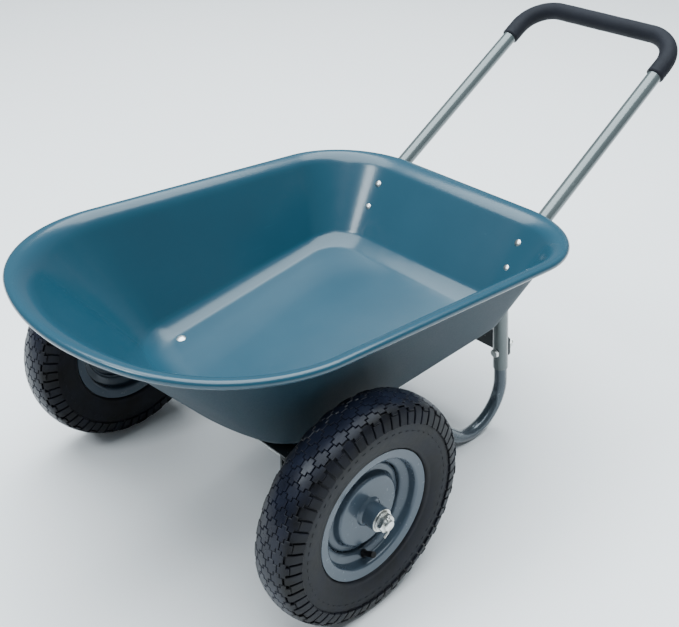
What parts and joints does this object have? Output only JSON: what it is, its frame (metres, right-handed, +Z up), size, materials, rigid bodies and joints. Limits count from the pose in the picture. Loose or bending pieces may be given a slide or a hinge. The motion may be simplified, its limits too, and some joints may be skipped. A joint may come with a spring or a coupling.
{
  "type": "garden cart",
  "caption": "Garden cart: a deep moulded tub with a rounded nose on a bent tube frame, pneumatic tyres at its sides, bent tube feet and a loop handle with a foam grip.",
  "frame": {"origin": "on the ground under the middle of the bounding box", "axes": "+X towards the tub's rounded nose, +Y left, +Z up; the handle is at -X"},
  "size_m": [1.1909, 0.671, 0.6034],
  "materials": {
    "tub_plastic": "smooth semi-gloss teal-blue moulded plastic",
    "tube_paint": "gloss grey paint on steel tube",
    "grip_foam": "matte black closed-cell foam sleeve",
    "black_plastic": "black moulded plastic",
    "bracket_paint": "dark grey paint on pressed steel",
    "rim_paint": "slate-grey semi-gloss paint on pressed steel",
    "zinc": "bright zinc-plated steel",
    "bearing_steel": "ground bearing steel",
    "tyre_rubber": "black moulded rubber",
    "tube_rubber": "black butyl rubber"
  },
  "bodies": {
    "cart": {"tub": "tub_plastic", "handle_tube": "tube_paint", "foam_grip": "grip_foam", "left_frame_tube": "tube_paint", "right_frame_tube": "tube_paint", "frame_end_caps": "black_plastic", "rear_strap": "bracket_paint", "front_strap": "bracket_paint", "floor_spacers": "zinc", "left_axle_bracket": "bracket_paint", "right_axle_bracket": "bracket_paint", "axle": "zinc", "axle_nuts": "zinc", "axle_washers": "zinc", "cotter_pins": "zinc", "axle_spacers": "zinc", "hub_spacers": "zinc", "wall_bolts": "zinc", "wall_washers": "zinc", "wall_nuts": "zinc", "floor_bolts": "zinc", "floor_washers": "zinc", "floor_nuts": "zinc", "leg_bolts": "zinc", "leg_washers": "zinc", "leg_nuts": "zinc", "bracket_bolts": "zinc", "bracket_washers": "zinc", "bracket_nuts": "zinc", "left_bearing_inner_rings": "bearing_steel", "right_bearing_inner_rings": "bearing_steel"},
    "left_wheel": {"left_tyre": "tyre_rubber", "left_inner_tube": "tube_rubber", "left_wheel_rim": "rim_paint", "left_wheel_disc": "rim_paint", "left_hub_tube": "rim_paint", "left_hub_weld": "rim_paint", "left_valve_stem": "tube_rubber", "left_valve_cap": "black_plastic", "left_bearing_outer_rings": "zinc"},
    "left_bearing_balls": {"left_bearing_balls": "bearing_steel"},
    "right_wheel": {"right_tyre": "tyre_rubber", "right_inner_tube": "tube_rubber", "right_wheel_rim": "rim_paint", "right_wheel_disc": "rim_paint", "right_hub_tube": "rim_paint", "right_hub_weld": "rim_paint", "right_valve_stem": "tube_rubber", "right_valve_cap": "black_plastic", "right_bearing_outer_rings": "zinc"},
    "right_bearing_balls": {"right_bearing_balls": "bearing_steel"}
  },
  "joints": [
    {"name": "left_wheel_spin", "type": "hinge", "parent": "cart", "child": "left_wheel", "pos_m": [0.32156, 0.282, 0.165], "axis": [0, 1, 0], "continuous": true},
    {"name": "left_bearing_roll", "type": "hinge", "parent": "cart", "child": "left_bearing_balls", "pos_m": [0.32156, 0.282, 0.165], "axis": [0, 1, 0], "continuous": true},
    {"name": "right_wheel_spin", "type": "hinge", "parent": "cart", "child": "right_wheel", "pos_m": [0.32156, -0.282, 0.165], "axis": [0, 1, 0], "continuous": true},
    {"name": "right_bearing_roll", "type": "hinge", "parent": "cart", "child": "right_bearing_balls", "pos_m": [0.32156, -0.282, 0.165], "axis": [0, 1, 0], "continuous": true}
  ],
  "couplings": [
    {"joint": "left_bearing_roll", "follows": "left_wheel_spin", "ratio": 0.607},
    {"joint": "right_bearing_roll", "follows": "right_wheel_spin", "ratio": 0.607}
  ]
}
